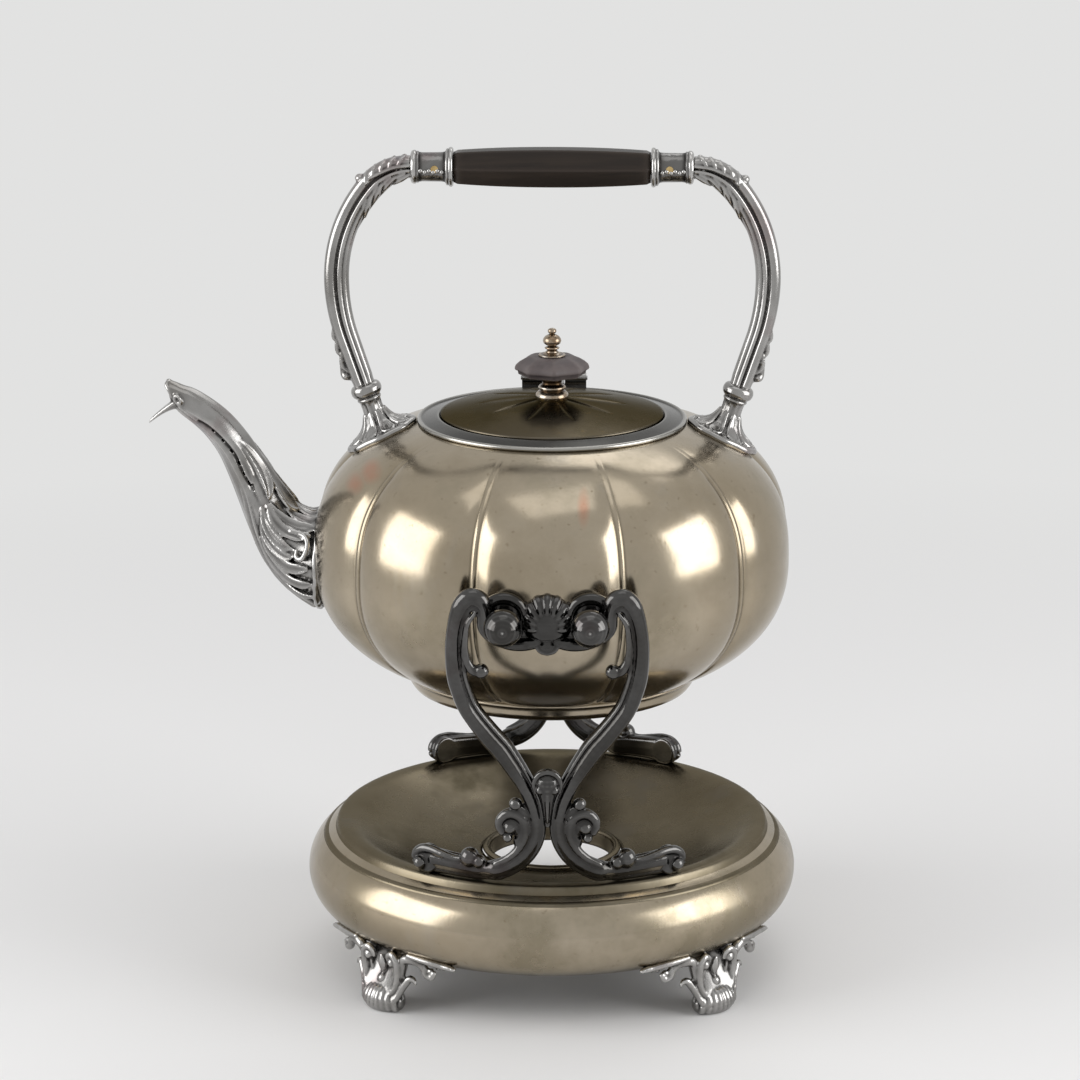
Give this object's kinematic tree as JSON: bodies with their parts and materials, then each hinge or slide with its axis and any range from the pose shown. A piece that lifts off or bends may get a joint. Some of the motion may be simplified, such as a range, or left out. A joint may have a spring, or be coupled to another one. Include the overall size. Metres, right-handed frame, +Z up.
{
  "type": "spirit kettle on stand",
  "caption": "Lobed spirit kettle with swan-neck spout, hinged lid and fixed overhead handle, hung by ball studs in the hooked arms of a footed stand with an open burner hole.",
  "frame": {"origin": "middle of the whole object's footprint box on the table, between the spout's tip and the far side of the base", "axes": "+Z up; the spout points along -X; the lid's hinge is on the +Y side; the kettle's own axis is at X = 32.25 mm"},
  "size_m": [0.2719, 0.25, 0.3486],
  "materials": {
    "warm_silver_plate": "silver plate, satin worn and slightly tarnished",
    "bright_silver_plate": "silver plate, polished castings with dark recesses",
    "gilt_silver_plate": "silver plate, polished, worn warm",
    "turned_hardwood": "dark polished hardwood",
    "ebonised_wood": "ebonised, worn satin",
    "rivet_brass": "polished",
    "plain_steel": "plain"
  },
  "bodies": {
    "stand": {"base_roll": "warm_silver_plate", "base_dish": "warm_silver_plate", "burner_collar": "warm_silver_plate", "foot_front_left": "bright_silver_plate", "foot_front_right": "bright_silver_plate", "foot_rear_right": "bright_silver_plate", "foot_rear_left": "bright_silver_plate", "arm_front_right": "bright_silver_plate", "arm_front_left": "bright_silver_plate", "arm_rear_right": "bright_silver_plate", "arm_rear_left": "bright_silver_plate", "clasp_front": "bright_silver_plate", "clasp_rear": "bright_silver_plate"},
    "pivot_studs": {"stud_front_spout_side": "bright_silver_plate", "stud_rear_spout_side": "bright_silver_plate"},
    "kettle": {"kettle_body": "warm_silver_plate", "foot_ring": "warm_silver_plate", "lid_collar": "bright_silver_plate", "spout": "bright_silver_plate", "bracket_front": "bright_silver_plate", "bracket_rear": "bright_silver_plate", "stud_front_handle_side": "bright_silver_plate", "stud_rear_handle_side": "bright_silver_plate", "handle_socket_left": "bright_silver_plate", "handle_socket_right": "bright_silver_plate", "handle_arm_left": "bright_silver_plate", "handle_arm_right": "bright_silver_plate", "handle_ferrule_left": "bright_silver_plate", "handle_ferrule_right": "bright_silver_plate", "ferrule_pin_left": "rivet_brass", "ferrule_pin_right": "rivet_brass", "grip": "turned_hardwood", "grip_rod": "plain_steel", "hinge_fixed_leaf": "bright_silver_plate", "hinge_pin": "plain_steel"},
    "lid": {"lid_dome": "warm_silver_plate", "lid_bezel": "bright_silver_plate", "hinge_lid_leaf": "bright_silver_plate", "knob_collar": "gilt_silver_plate", "knob": "ebonised_wood", "knob_washer": "gilt_silver_plate", "finial": "gilt_silver_plate", "knob_nut": "plain_steel"}
  },
  "joints": [
    {"name": "kettle_lift", "type": "slide", "parent": "stand", "child": "pivot_studs", "axis": [0, 0, 1], "range_m": [0, 0.12]},
    {"name": "kettle_tilt", "type": "hinge", "parent": "pivot_studs", "child": "kettle", "pos_m": [0.0151, 0, 0.178], "axis": [0, -1, 0], "range_deg": [0, 60]},
    {"name": "lid_hinge", "type": "hinge", "parent": "kettle", "child": "lid", "pos_m": [0.03225, 0.0515, 0.2406], "axis": [-1, 0, 0], "range_deg": [0, 100]}
  ]
}
